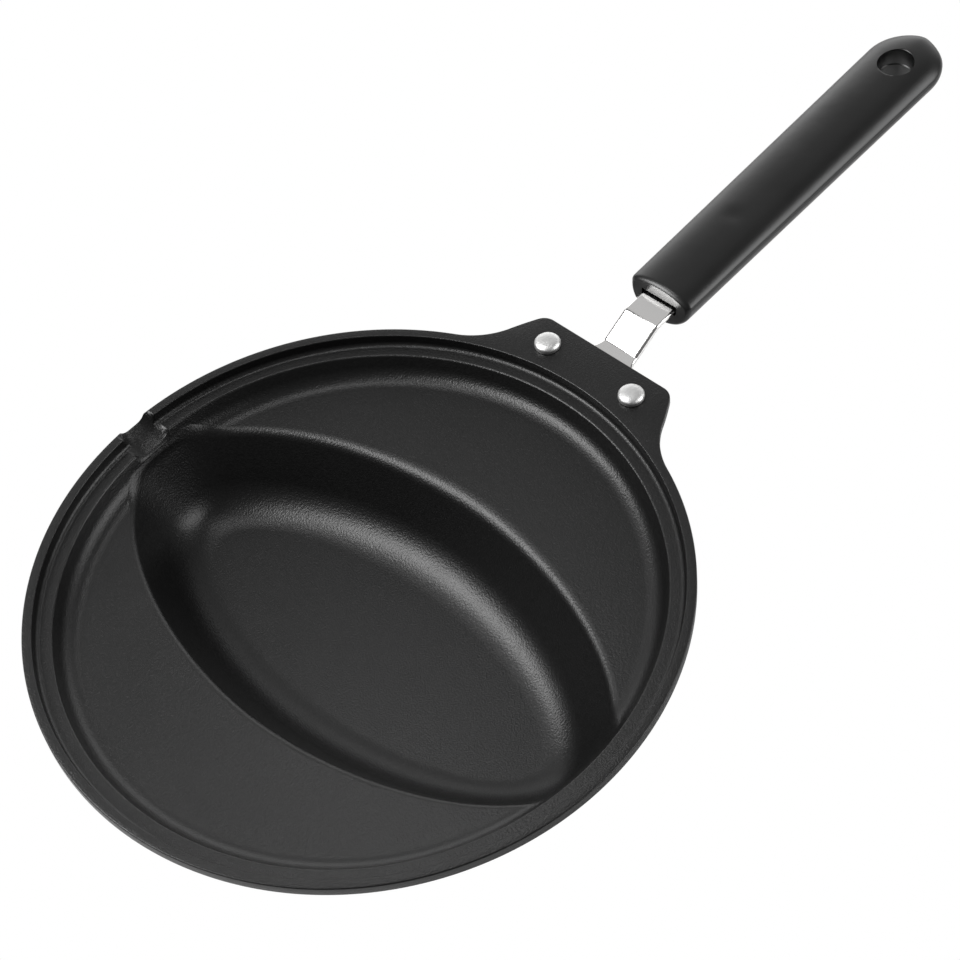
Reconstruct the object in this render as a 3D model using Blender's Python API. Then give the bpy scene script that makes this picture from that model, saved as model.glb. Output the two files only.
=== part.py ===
"""Omurice pan: a cast pan with a lens-shaped well, a steel handle bracket and a moulded grip.

Metres, +Z up. The origin is under the centre of the round pan, on the flat face that it stands on.
+X runs along the handle, and the well's long axis runs along Y, towards the pouring spout at +Y.
"""

import math

import bmesh
import bpy
import numpy as np
from mathutils import Matrix

MM = 0.001

# Clearances
GAP = 0.3 * MM
CUT_OVERRUN = 2.0 * MM

# Pan: overall
PAN_RADIUS = 112.5 * MM
CASTING_WALL = 3.0 * MM
BASE_THICKNESS = 4.0 * MM

# Pan: rim, from the outside in
LIP_WIDTH = 3.4 * MM
LIP_EDGE_RADIUS = 0.5 * MM
LIP_SIDE_HEIGHT = 3.8 * MM
LIP_STEP_LEAN = 0.4 * MM
SHELF_DEPTH = 4.4 * MM
SHELF_FILLET = 1.8 * MM
SHELF_WIDTH = 5.7 * MM
SHELF_EDGE_RADIUS = 1.0 * MM
SHELF_INNER_RADIUS = PAN_RADIUS - LIP_WIDTH - SHELF_WIDTH
WALL_ANGLE = math.radians(66)
FOOT_FILLET = 6.0 * MM
PLATE_DEPTH = 12.5 * MM
RIM_UNDERCUT = 2.5 * MM

# Pan: lens-shaped well, whose ends reach just past the shelf's inner edge
WELL_HALF_WIDTH = 54.5 * MM
WELL_END_REACH = 0.1 * MM
WELL_HALF_LENGTH = SHELF_INNER_RADIUS + WELL_END_REACH
WELL_OUTLINE_POWER = 1.85
WELL_DEPTH = 27.0 * MM
WELL_SIDE_RUN = 27.0 * MM
WELL_END_RUN = 28.5 * MM
WELL_FLOOR_HALF_WIDTH = WELL_HALF_WIDTH - WELL_SIDE_RUN
WELL_FLOOR_HALF_LENGTH = WELL_HALF_LENGTH - WELL_END_RUN
WELL_FLOOR_FILLET = 20.0 * MM
BASE_SIDE_MARGIN = 15.0 * MM
BASE_END_MARGIN = 6.0 * MM
BASE_HALF_WIDTH = WELL_FLOOR_HALF_WIDTH + BASE_SIDE_MARGIN
BASE_HALF_LENGTH = WELL_FLOOR_HALF_LENGTH + BASE_END_MARGIN
BASE_FILLET = 6.0 * MM
WELL_EDGE_ROUNDING = 2.6 * MM
WELL_ROOT_ROUNDING = 4.0 * MM
WELL_END_BLEND = 1.5 * MM

# Pan: pouring spout
SPOUT_ANGLE = math.radians(90.7)
SPOUT_LIP_HALF_WIDTH = 5.8 * MM
SPOUT_SHELF_HALF_WIDTH = 7.8 * MM
SPOUT_RIM_DEPTH = 2.4 * MM
SPOUT_END_DEPTH = 9.2 * MM
SPOUT_SIDE_POWER = 4
SPOUT_FLOOR_POWER = 1.5
SPOUT_BLEND = 0.35 * MM

# Pan: handle flange, whose corners stand round the rivets
FLANGE_OVERHANG = 15.2 * MM
FLANGE_REACH = PAN_RADIUS + FLANGE_OVERHANG
FLANGE_THICKNESS = 3.0 * MM
FLANGE_SIDE_MARGIN = 9.7 * MM
RIVET_HALF_SPACING = 19.6 * MM
FLANGE_CORNER_HALF_WIDTH = RIVET_HALF_SPACING + FLANGE_SIDE_MARGIN
FLANGE_CORNER_RADIUS = 5.5 * MM
FLANGE_SIDE_ANGLE = math.radians(153)
FLANGE_SIDE_FILLET = 30.0 * MM

# Rivets
RIVET_INSET = 8.7 * MM
RIVET_RADIUS_FROM_CENTRE = FLANGE_REACH - RIVET_INSET
RIVET_SHANK_RADIUS = 2.5 * MM
RIVET_HEAD_RADIUS = 4.8 * MM
RIVET_HEAD_HEIGHT = 2.6 * MM
RIVET_TAIL_RADIUS = 4.2 * MM
RIVET_TAIL_HEIGHT = 1.8 * MM
RIVET_EDGE_HEIGHT = 0.6 * MM

# Handle bracket
STRAP_THICKNESS = 2.0 * MM
STRAP_HALF_WIDTH = 7.6 * MM
FOOT_END_RADIUS = 6.0 * MM
RISER_CLEARANCE = 6.3 * MM
RISER_RUN = 12.3 * MM
RISER_START = FLANGE_REACH + RISER_CLEARANCE
RISER_END = RISER_START + RISER_RUN
RISER_BEND_RADIUS = 3.0 * MM
TANG_HALF_WIDTH = 6.8 * MM
TANG_LENGTH = 62.0 * MM

# Grip: the parting line and the belly are measured from the axis of its tang slot, the crown from that line
STRAP_SHOWN_LENGTH = 9.2 * MM
GRIP_START = RISER_END + STRAP_SHOWN_LENGTH
GRIP_LENGTH = 160.2 * MM
GRIP_AXIS_RISE = 2.45 * MM
GRIP_TILT = math.radians(2.8)
GRIP_FRONT_HALF_WIDTH = 13.1 * MM
GRIP_REAR_HALF_WIDTH = 14.7 * MM
GRIP_CROWN_HEIGHT = 4.0 * MM
GRIP_LOWER_HEIGHT = 8.6 * MM
GRIP_FRONT_PARTING = 3.8 * MM
GRIP_REAR_PARTING = 1.7 * MM
GRIP_CROWN_POWER = 2.0
GRIP_BELLY_POWER = 2.5
GRIP_NOSE_RADIUS = 2.6 * MM
GRIP_NOSE_TURN = math.radians(60)
GRIP_TAIL_LENGTH = 16.0 * MM
GRIP_TAIL_WIDTH_POWER = 0.93
GRIP_TAIL_HEIGHT_POWER = 0.35
HANG_HOLE_RADIUS = 7.0 * MM
HANG_HOLE_FROM_TIP = 19.4 * MM
SLOT_CLEARANCE = 0.4 * MM
SLOT_MOUTH_HEIGHT = 3.6 * MM
SLOT_MOUTH_DEPTH = 4.0 * MM

# Grip screw
SCREW_FROM_NOSE = 44.0 * MM
SCREW_SHANK_RADIUS = 2.0 * MM
SCREW_HEAD_RADIUS = 3.6 * MM
SCREW_HEAD_HEIGHT = 2.4 * MM
SCREW_EDGE_HEIGHT = 0.8 * MM
SCREW_WASHER_RADIUS = 4.1 * MM
SCREW_WASHER_THICKNESS = 1.0 * MM
SCREW_RECESS_RADIUS = 4.8 * MM
SCREW_RECESS_DEPTH = 5.0 * MM

# Facets
LOOP_COUNT = 72
TURNED_COUNT = 24
HANG_HOLE_COUNT = 32
GRIP_SECTION_COUNT = 28
FLANGE_CORNER_STEPS = 12
FLANGE_SIDE_STEPS = 16
SHARP_ANGLE = math.radians(35)


def clear_scene():
    for obj in list(bpy.data.objects):
        bpy.data.objects.remove(obj, do_unlink=True)


def material(name, colour, roughness, metallic):
    """A Principled material with the piece's own colour."""
    made = bpy.data.materials.new(name)
    made.use_nodes = True
    shader = made.node_tree.nodes["Principled BSDF"]
    shader.inputs["Base Color"].default_value = (*colour, 1)
    shader.inputs["Roughness"].default_value = roughness
    shader.inputs["Metallic"].default_value = metallic
    made.diffuse_color = (*colour, 1)
    return made


def rounded_path(corners):
    """Points along straight runs through the corners, each given as (a, b, radius, steps of its arc)."""
    points = []
    for index, (a, b, radius, steps) in enumerate(corners):
        here = np.array([a, b])
        if not radius:
            points.append(here)
            continue
        before = np.array(corners[index - 1][:2]) - here
        after = np.array(corners[index + 1][:2]) - here
        before, after = before / np.hypot(*before), after / np.hypot(*after)
        half = math.acos(float(np.clip(before @ after, -1, 1))) / 2
        middle = before + after
        centre = here + middle / np.hypot(*middle) * radius / math.sin(half)
        start = here + before * radius / math.tan(half) - centre
        turn = math.pi - 2 * half
        if start[0] * after[1] - start[1] * after[0] < 0:
            turn = -turn
        for step in range(steps + 1):
            angle = turn * step / steps
            c, s = math.cos(angle), math.sin(angle)
            points.append(centre + (start[0] * c - start[1] * s, start[0] * s + start[1] * c))
    return np.array(points)


def mesh_object(name, points, faces, look):
    """A mesh object whose faces all point outwards."""
    mesh = bpy.data.meshes.new(name)
    mesh.from_pydata([tuple(point) for point in points], [], faces)
    shape = bmesh.new()
    shape.from_mesh(mesh)
    bmesh.ops.recalc_face_normals(shape, faces=shape.faces)
    shape.to_mesh(mesh)
    shape.free()
    mesh.shade_smooth()
    mesh.set_sharp_from_angle(angle=SHARP_ANGLE)
    if look:
        mesh.materials.append(look)
    made = bpy.data.objects.new(name, mesh)
    bpy.context.scene.collection.objects.link(made)
    return made


def loft(name, loops, look):
    """A closed body through equal closed loops of points, with a flat face on the first and the last."""
    count = len(loops[0])
    points = [point for loop in loops for point in loop]
    faces = [list(range(count)), list(range((len(loops) - 1) * count, len(loops) * count))[::-1]]
    for row in range(len(loops) - 1):
        for k in range(count):
            here, after = row * count + k, row * count + (k + 1) % count
            faces.append([here, after, after + count, here + count])
    return mesh_object(name, points, faces, look)


def turned(name, profile, look, count=TURNED_COUNT):
    """A body turned about Z from (radius, height) points, whose first and last points lie on the axis."""
    angles = [2 * math.pi * k / count for k in range(count)]
    points = [(0, 0, profile[0][1])]
    rings = profile[1:-1]
    points += [(r * math.cos(a), r * math.sin(a), z) for r, z in rings for a in angles]
    points.append((0, 0, profile[-1][1]))
    last = len(points) - 1
    faces = []
    for k in range(count):
        after = (k + 1) % count
        faces.append([0, 1 + k, 1 + after])
        faces.append([last, last - count + after, last - count + k])
        for row in range(len(rings) - 1):
            low = 1 + row * count
            faces.append([low + k, low + count + k, low + count + after, low + after])
    return mesh_object(name, points, faces, look)


def helper(made):
    """Marks an object as a cutter, which isn't part of the pan."""
    made.hide_render = True
    made.display_type = "WIRE"
    return made


def cylinder_cutter(name, radius, low, high, place, count=TURNED_COUNT):
    cutter = turned(name, [(0, low), (radius, low), (radius, high), (0, high)], None, count)
    cutter.matrix_world = place
    return helper(cutter)


def cut(made, cutter):
    step = made.modifiers.new(cutter.name, "BOOLEAN")
    step.operation = "DIFFERENCE"
    step.object = cutter


# Heights, from the flat underside of the well
PLATE_HEIGHT = BASE_THICKNESS + WELL_DEPTH
RIM_HEIGHT = PLATE_HEIGHT + PLATE_DEPTH


def spread_angles():
    """The angles of the pan's loops: even, and closer together at the flange's sides and in the spout."""
    even = [2 * math.pi * k / LOOP_COUNT for k in range(LOOP_COUNT)]
    spout_shares = (0, 0.25, 0.45, 0.56, 0.64, 0.7, 0.78, 0.88, 0.98, 1.08, 1.25)
    corner_shares = (0.8, 0.9, 0.97, 1.05, 1.13, 1.25, 1.4, 1.62)
    half_angle = SPOUT_SHELF_HALF_WIDTH / SHELF_INNER_RADIUS
    corner = math.atan2(FLANGE_CORNER_HALF_WIDTH, FLANGE_REACH)
    spout = {SPOUT_ANGLE + side * share * half_angle for side in (1, -1) for share in spout_shares}
    flange = {side * share * corner % (2 * math.pi) for side in (1, -1) for share in corner_shares}
    fine = list(spout | flange)
    clear_share = 0.7
    clear = math.pi / LOOP_COUNT * clear_share
    kept = [angle for angle in even if min(abs(angle - other) for other in fine) > clear]
    return np.array(sorted(kept + fine))


def flange_outline():
    """Half of the flange's outline, from the handle's axis round its corner to the rim's circle."""
    along = np.array([math.cos(FLANGE_SIDE_ANGLE), math.sin(FLANGE_SIDE_ANGLE)])
    outward = np.array([along[1], -along[0]])
    corner = np.array([FLANGE_REACH, FLANGE_CORNER_HALF_WIDTH])
    base = corner + outward * FLANGE_SIDE_FILLET
    reach = PAN_RADIUS + FLANGE_SIDE_FILLET
    b, c = base @ along, base @ base - reach**2
    centre = base + along * (-b - math.sqrt(b * b - c))
    end = centre - outward * FLANGE_SIDE_FILLET
    rounded = (*corner, FLANGE_CORNER_RADIUS, FLANGE_CORNER_STEPS)
    far = rounded_path([(FLANGE_REACH, 0, 0, 0), rounded, (*end, 0, 0)])
    first = math.atan2(*(-outward)[::-1])
    last = math.atan2(*(-centre)[::-1])
    turn = (last - first + math.pi) % (2 * math.pi) - math.pi
    angles = np.linspace(first, first + turn, FLANGE_SIDE_STEPS + 1)
    near = [centre + FLANGE_SIDE_FILLET * np.array([math.cos(a), math.sin(a)]) for a in angles]
    return np.vstack([far, near])


def outer_radius(angles):
    """The casting's outer radius at each angle: the round rim, and the flange around the handle's axis."""
    outline = flange_outline()
    turn = np.arctan2(outline[:, 1], outline[:, 0])
    radius = np.hypot(outline[:, 0], outline[:, 1])
    order = np.argsort(turn)
    away = np.abs((angles + math.pi) % (2 * math.pi) - math.pi)
    straight = FLANGE_REACH / np.maximum(np.cos(away), 0.5)
    found = np.interp(away, turn[order], radius[order], right=PAN_RADIUS)
    corner_start = turn[order][1]
    return np.where(away < corner_start, straight, np.maximum(found, PAN_RADIUS))


def wall_radius(level, wall):
    """Radius of the rim's straight inner wall at a height below the rim, or of its outer face a wall away."""
    return SHELF_INNER_RADIUS + wall / math.sin(WALL_ANGLE) + (level + SHELF_DEPTH) / math.tan(WALL_ANGLE)


def rim_profile():
    """(radius, height below the rim) of the upper face from the plate to the lip's top."""
    foot = wall_radius(-PLATE_DEPTH, 0)
    lip = PAN_RADIUS - LIP_WIDTH
    return rounded_path([
        (foot - 2 * FOOT_FILLET, -PLATE_DEPTH, 0, 0),
        (foot, -PLATE_DEPTH, FOOT_FILLET, 4),
        (SHELF_INNER_RADIUS, -SHELF_DEPTH, SHELF_EDGE_RADIUS, 2),
        (lip - LIP_STEP_LEAN, -SHELF_DEPTH, SHELF_FILLET, 3),
        (lip, 0, LIP_EDGE_RADIUS, 2),
        (PAN_RADIUS, 0, 0, 0),
    ])[1:-1]


def under_profile():
    """(radius, height below the rim) of the underside from the plate to the lip's outer side."""
    plate, low = -PLATE_DEPTH - CASTING_WALL, -SHELF_DEPTH - CASTING_WALL
    foot = wall_radius(plate, CASTING_WALL)
    return rounded_path([
        (foot - 2 * FOOT_FILLET, plate, 0, 0),
        (foot, plate, FOOT_FILLET + CASTING_WALL / 2, 3),
        (wall_radius(low, CASTING_WALL), low, SHELF_EDGE_RADIUS, 1),
        (PAN_RADIUS - RIM_UNDERCUT, low, SHELF_EDGE_RADIUS, 1),
        (PAN_RADIUS - LIP_EDGE_RADIUS, -LIP_SIDE_HEIGHT, 0, 0),
    ])[1:]


def soft_min(first, second, blend):
    """The lower of two heights, with the crease between them rounded over blend."""
    near = np.clip(blend - np.abs(first - second), 0, None)
    return np.minimum(first, second) - near * near / (4 * blend)


def lens_radius(angles, half_width, half_length):
    """The lens outline with the given half sizes, as a radius at each angle."""
    power = WELL_OUTLINE_POWER
    across, along = np.abs(np.cos(angles)) / half_width, np.abs(np.sin(angles)) / half_length
    return (across**power + along**power) ** (-1 / power)


def well_radius(angles, share, level, face):
    """A face of the well as a radius at each angle: a lens that share draws in from edge (0) to floor (1).

    The well's ends go no further out than the rim's wall, which runs on down into them.
    """
    sizes = [first + (last - first) * share for first, last in zip(face["edge"], face["floor"])]
    return soft_min(lens_radius(angles, *sizes), wall_radius(level, face["wall"]), WELL_END_BLEND)


def spout_run(radius):
    """How far a radius lies along the spout: 0 at its inner end in the rim's wall, 1 at the pan's edge."""
    inner = wall_radius(-SPOUT_END_DEPTH, 0)
    return np.clip((radius - inner) / (PAN_RADIUS - inner), 0, None)


def spout_floor(radius, angles):
    """Height below the rim of the spout's trough, and far above the pan away from it."""
    fall = SPOUT_END_DEPTH - SPOUT_RIM_DEPTH
    floor = fall * spout_run(radius) ** SPOUT_FLOOR_POWER - SPOUT_END_DEPTH
    out = np.clip((radius - SHELF_INNER_RADIUS) / (PAN_RADIUS - SHELF_INNER_RADIUS), 0, None)
    half_width = SPOUT_SHELF_HALF_WIDTH + (SPOUT_LIP_HALF_WIDTH - SPOUT_SHELF_HALF_WIDTH) * out
    aside = np.abs(radius * np.sin(angles - SPOUT_ANGLE)) / half_width
    trough = floor + SPOUT_RIM_DEPTH * aside**SPOUT_SIDE_POWER
    return np.where(np.cos(angles - SPOUT_ANGLE) > 0.5, trough, PAN_RADIUS)


def upper_height(radius, angles, profile):
    """Height below the rim of the pan's upper face outside the well."""
    rim = np.interp(radius, profile[:, 0], profile[:, 1])
    return soft_min(rim, spout_floor(radius, angles), SPOUT_BLEND)


def under_height(radius, angles, profile):
    """Height below the rim of the underside outside the well, which bulges down under the spout."""
    under = np.interp(radius, profile[:, 0], profile[:, 1])
    wall = CASTING_WALL + (LIP_SIDE_HEIGHT - SPOUT_RIM_DEPTH - CASTING_WALL) * spout_run(radius)
    return soft_min(under, spout_floor(radius, angles) - wall, SPOUT_BLEND)


def well_loops(angles, profile, height, face):
    """(radius, height below the rim) loops of a face of the well, from its flat floor to beyond its edge."""
    fillet, rounding = face["fillet"], face["rounding"]
    plate, bottom = face["levels"]
    run, drop = face["edge"][0] - face["floor"][0], plate - bottom - fillet
    steep = math.atan2(drop, run) + math.asin(fillet / math.hypot(run, drop))
    lean = 1 / (math.tan(steep) * run)
    loops = []
    for step in range(face["fillet_steps"] + 1):
        turn = steep * step / face["fillet_steps"]
        level = bottom + fillet * (1 - math.cos(turn))
        radius = well_radius(angles, 1 - fillet * math.sin(turn) / run, level, face)
        loops.append((radius, np.full(len(angles), level)))
    top = np.full(len(angles), plate)
    for _ in range(3):
        corner = well_radius(angles, (plate - top) * lean, top, face)
        top = height(corner, angles, profile)
    low = top - rounding * math.sin(steep)
    start = (well_radius(angles, (plate - low) * lean, low, face), low)
    end = (corner + rounding, height(corner + rounding, angles, profile))
    for step in range(face["edge_steps"] + 1):
        t = step / face["edge_steps"]
        shares = ((1 - t) ** 2, 2 * t * (1 - t), t * t)
        parts = zip(start, (corner, top), end)
        loops.append(tuple(sum(s * part for s, part in zip(shares, trio)) for trio in parts))
    return loops


def rim_loops(loops, angles, profile, height, least):
    """Adds the profile's own circles to the loops, pushed outwards where the well's edge lies beyond them."""
    for radius in profile[:, 0]:
        around = np.maximum(radius, loops[-1][0] + least)
        loops.append((around, height(around, angles, profile)))


def outer_loops(angles, reach):
    """Loops over the lip's outer edge, down its side and under it, from the top."""
    out = np.clip((reach - PAN_RADIUS) / (LIP_WIDTH / 2), 0, 1)
    depth = LIP_SIDE_HEIGHT + (FLANGE_THICKNESS - LIP_SIDE_HEIGHT) * out
    edge = LIP_EDGE_RADIUS
    loops = []
    for turn in (0, math.pi / 4, math.pi / 2):
        radius = reach - edge * (1 - math.sin(turn))
        level = np.full(len(angles), -edge * (1 - math.cos(turn)))
        trough = spout_floor(np.minimum(radius, PAN_RADIUS), angles)
        loops.append((radius, soft_min(level, trough, SPOUT_BLEND)))
    small = edge / 2
    loops.append((reach, -depth + small))
    loops.append((reach - small, -depth))
    inset = 1.5 * small - np.minimum(3 * small, (reach - PAN_RADIUS) / 2)
    loops.append((PAN_RADIUS - inset, -depth))
    return loops


def pan_loops(angles):
    """Every loop of the casting, from the well's floor over the rim to the flat underside."""
    least = LIP_EDGE_RADIUS / 4
    upper, under = rim_profile(), under_profile()
    inner = {
        "wall": 0,
        "levels": (-PLATE_DEPTH, -PLATE_DEPTH - WELL_DEPTH),
        "edge": (WELL_HALF_WIDTH, WELL_HALF_LENGTH),
        "floor": (WELL_FLOOR_HALF_WIDTH, WELL_FLOOR_HALF_LENGTH),
        "fillet": WELL_FLOOR_FILLET,
        "fillet_steps": 6,
        "rounding": WELL_EDGE_ROUNDING,
        "edge_steps": 4,
    }
    outer = {
        "wall": CASTING_WALL,
        "levels": (-PLATE_DEPTH - CASTING_WALL, -RIM_HEIGHT),
        "edge": (WELL_HALF_WIDTH + CASTING_WALL, WELL_HALF_LENGTH + CASTING_WALL),
        "floor": (BASE_HALF_WIDTH, BASE_HALF_LENGTH),
        "fillet": BASE_FILLET,
        "fillet_steps": 3,
        "rounding": WELL_ROOT_ROUNDING,
        "edge_steps": 2,
    }
    above = well_loops(angles, upper, upper_height, inner)
    rim_loops(above, angles, upper, upper_height, least)
    below = well_loops(angles, under, under_height, outer)
    rim_loops(below, angles, under, under_height, least)
    return above + outer_loops(angles, outer_radius(angles)) + below[::-1]


def pan_body(look):
    angles = spread_angles()
    loops = []
    for radius, height in pan_loops(angles):
        ring = np.stack([radius * np.cos(angles), radius * np.sin(angles), RIM_HEIGHT + height], axis=1)
        loops.append([tuple(point) for point in ring])
    pan = loft("pan_body", loops, look)
    for side, place in rivet_places():
        low, high = -FLANGE_THICKNESS - CUT_OVERRUN, CUT_OVERRUN
        cut(pan, cylinder_cutter(f"rivet_hole_{side}", RIVET_SHANK_RADIUS + GAP, low, high, place))
    return pan


def rivet_places():
    """Each rivet's side and its place, at the flange's top."""
    for side, y in (("left", RIVET_HALF_SPACING), ("right", -RIVET_HALF_SPACING)):
        yield side, Matrix.Translation((rivet_seat(), y, RIM_HEIGHT))


def dome(radius, height, steps, sign, base):
    """(radius, height) points of a shallow dome, from its rim to the point before its top."""
    sphere = (radius**2 + height**2) / (2 * height)
    edge = math.asin(min(1, radius / sphere))
    if height > radius:
        edge = math.pi - edge
    points = []
    for step in range(steps):
        angle = edge * (1 - step / steps)
        points.append((sphere * math.sin(angle), base + sign * (height - sphere * (1 - math.cos(angle)))))
    return points


def rivet(side, place, look):
    """A solid rivet: a domed head on the flange, and its formed tail under the bracket's foot."""
    tail = -FLANGE_THICKNESS - STRAP_THICKNESS - 2 * GAP
    edge = RIVET_EDGE_HEIGHT
    head = [(RIVET_HEAD_RADIUS, GAP + edge)]
    head += dome(RIVET_HEAD_RADIUS, RIVET_HEAD_HEIGHT - edge, 5, 1, GAP + edge)[1:]
    profile = [(0, GAP + RIVET_HEAD_HEIGHT)] + head[::-1]
    profile += [(RIVET_HEAD_RADIUS, GAP), (RIVET_SHANK_RADIUS, GAP), (RIVET_SHANK_RADIUS, tail)]
    profile += [(RIVET_TAIL_RADIUS, tail)]
    profile += dome(RIVET_TAIL_RADIUS, RIVET_TAIL_HEIGHT, 4, -1, tail - edge)
    profile += [(0, tail - edge - RIVET_TAIL_HEIGHT)]
    made = turned(f"rivet_{side}", profile, look)
    made.matrix_world = place
    return made


def rivet_seat():
    """The rivets' distance along X from the pan's centre."""
    return math.sqrt(RIVET_RADIUS_FROM_CENTRE**2 - RIVET_HALF_SPACING**2)


def shoulder_place():
    """Where the strap narrows to its tang, just inside the grip's slot mouth."""
    return GRIP_START + SLOT_MOUTH_DEPTH - 2 * SLOT_CLEARANCE


def strap_half_width(x):
    """Half the bracket's width: round ends at the rivets, a web that curves in, the strap and its tang."""
    seat = rivet_seat()
    web = RIVET_HALF_SPACING - STRAP_HALF_WIDTH
    foot_end = seat + FOOT_END_RADIUS
    if x < foot_end:
        return RIVET_HALF_SPACING + math.sqrt(max(0, FOOT_END_RADIUS**2 - (x - seat) ** 2))
    if x < foot_end + web:
        return RIVET_HALF_SPACING - math.sqrt(max(0, web**2 - (foot_end + web - x) ** 2))
    if x < shoulder_place():
        return STRAP_HALF_WIDTH
    return TANG_HALF_WIDTH


def grip_place():
    """The grip's frame: X along it from its nose, Z up."""
    at = Matrix.Translation((GRIP_START, 0, RIM_HEIGHT + GRIP_AXIS_RISE))
    return at @ Matrix.Rotation(-GRIP_TILT, 4, "Y")


def axis_height(x):
    """Height over the rim of the grip's axis, which is also the middle of the tang."""
    return GRIP_AXIS_RISE + (x - GRIP_START) * math.tan(GRIP_TILT)


def strap_path():
    """(x, height over the rim) along the middle of the strap, from under the pan's side into the grip."""
    seat = rivet_seat()
    foot = -FLANGE_THICKNESS - GAP - STRAP_THICKNESS / 2
    tang_end = GRIP_START + TANG_LENGTH * math.cos(GRIP_TILT)
    bends = rounded_path([
        (seat, foot, 0, 0),
        (RISER_START, foot, RISER_BEND_RADIUS, 5),
        (RISER_END, axis_height(RISER_END), RISER_BEND_RADIUS, 5),
        (tang_end, axis_height(tang_end), 0, 0),
    ])
    foot_shares = (-1, -0.96, -0.82, -0.6, -0.3, 0, 0.3, 0.6, 0.82, 0.96)
    flat = [(seat + share * FOOT_END_RADIUS, foot) for share in foot_shares]
    web = RIVET_HALF_SPACING - STRAP_HALF_WIDTH
    web_shares = (0, 0.03, 0.12, 0.26, 0.42, 0.6)
    flat += [(seat + FOOT_END_RADIUS + share * web, foot) for share in web_shares]
    first = next(k for k, point in enumerate(bends) if point[0] > flat[-1][0])
    narrow = shoulder_place()
    shoulder = [(x, axis_height(x)) for x in (narrow - SLOT_CLEARANCE, narrow)]
    return flat + [tuple(point) for point in bends[first:-1]] + shoulder + [tuple(bends[-1])]


def handle_bracket(look):
    """The steel strap, lofted along its bends, then cut round the pan's side and for its rivets and screw."""
    path = np.array(strap_path())
    ahead = np.gradient(path, axis=0)
    ahead /= np.hypot(ahead[:, 0], ahead[:, 1])[:, None]
    loops = []
    for (x, z), (dx, dz) in zip(path, ahead):
        half, up = strap_half_width(x), STRAP_THICKNESS / 2
        low = (x + dz * up, RIM_HEIGHT + z - dx * up)
        high = (x - dz * up, RIM_HEIGHT + z + dx * up)
        corners = ((low, -half), (low, half), (high, half), (high, -half))
        loops.append([(edge[0], y, edge[1]) for edge, y in corners])
    bracket = loft("handle_bracket", loops, look)
    side = PAN_RADIUS + 2 * LIP_EDGE_RADIUS + GAP
    cut(bracket, cylinder_cutter("pan_side_clearance", side, 0, 2 * RIM_HEIGHT, Matrix(), 2 * LOOP_COUNT))
    below = -FLANGE_THICKNESS - STRAP_THICKNESS - CUT_OVERRUN
    for name, place in rivet_places():
        cut(bracket, cylinder_cutter(f"foot_hole_{name}", RIVET_SHANK_RADIUS + GAP, below, 0, place))
    through = STRAP_THICKNESS / 2 + CUT_OVERRUN
    cut(bracket, cylinder_cutter("tang_hole", SCREW_SHANK_RADIUS + GAP, -through, through, screw_place()))
    return bracket


def grip_sections():
    """(distance from the nose, half width, parting height, share of the full height) along the grip."""
    nose_shares = (1, 0.7, 0.4, 0)
    body_shares = (0.15, 0.3, 0.5, 0.7, 0.85, 1)
    tail_shares = (0.17, 0.34, 0.5, 0.65, 0.79, 0.9, 0.97)
    sections = []
    for share in nose_shares:
        turn = GRIP_NOSE_TURN * share
        inset = GRIP_NOSE_RADIUS * (1 - math.cos(turn))
        along = GRIP_NOSE_RADIUS * (math.sin(GRIP_NOSE_TURN) - math.sin(turn))
        height_share = 1 - inset / GRIP_LOWER_HEIGHT
        sections.append((along, GRIP_FRONT_HALF_WIDTH - inset, GRIP_FRONT_PARTING, height_share))
    start, end = sections[-1][0], GRIP_LENGTH - GRIP_TAIL_LENGTH
    for share in body_shares:
        along = start + (end - start) * share
        width = GRIP_FRONT_HALF_WIDTH + (GRIP_REAR_HALF_WIDTH - GRIP_FRONT_HALF_WIDTH) * share
        parting = GRIP_FRONT_PARTING + (GRIP_REAR_PARTING - GRIP_FRONT_PARTING) * share
        sections.append((along, width, parting, 1))
    full = math.sin(tail_shares[-1] * math.pi / 2)
    for share in tail_shares:
        along = end + GRIP_TAIL_LENGTH * math.sin(share * math.pi / 2) / full
        closing = math.cos(share * math.pi / 2)
        width = GRIP_REAR_HALF_WIDTH * closing**GRIP_TAIL_WIDTH_POWER
        sections.append((along, width, GRIP_REAR_PARTING, closing**GRIP_TAIL_HEIGHT_POWER))
    return sections


def grip_section_loop(x, width, parting, height_share):
    """One section: a shallow crown over the mould's parting line, and a deep rounded belly under it."""
    belly = GRIP_LOWER_HEIGHT + parting
    loop = []
    for k in range(GRIP_SECTION_COUNT):
        angle = 2 * math.pi * k / GRIP_SECTION_COUNT
        c, s = math.cos(angle), math.sin(angle)
        reach, power = (GRIP_CROWN_HEIGHT, GRIP_CROWN_POWER) if s > 0 else (belly, GRIP_BELLY_POWER)
        y = width * math.copysign(abs(c) ** (2 / power), c)
        z = parting + reach * math.copysign(abs(s) ** (2 / power), s)
        loop.append((x, y, z * height_share))
    return loop


def box_cutter(name, low, high, place):
    """A box between two corners, in the given frame."""
    sides = ((low[1], low[2]), (high[1], low[2]), (high[1], high[2]), (low[1], high[2]))
    cutter = loft(name, [[(x, y, z) for y, z in sides] for x in (low[0], high[0])], None)
    cutter.matrix_world = place
    return helper(cutter)


def screw_place():
    return grip_place() @ Matrix.Translation((SCREW_FROM_NOSE, 0, 0))


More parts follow.
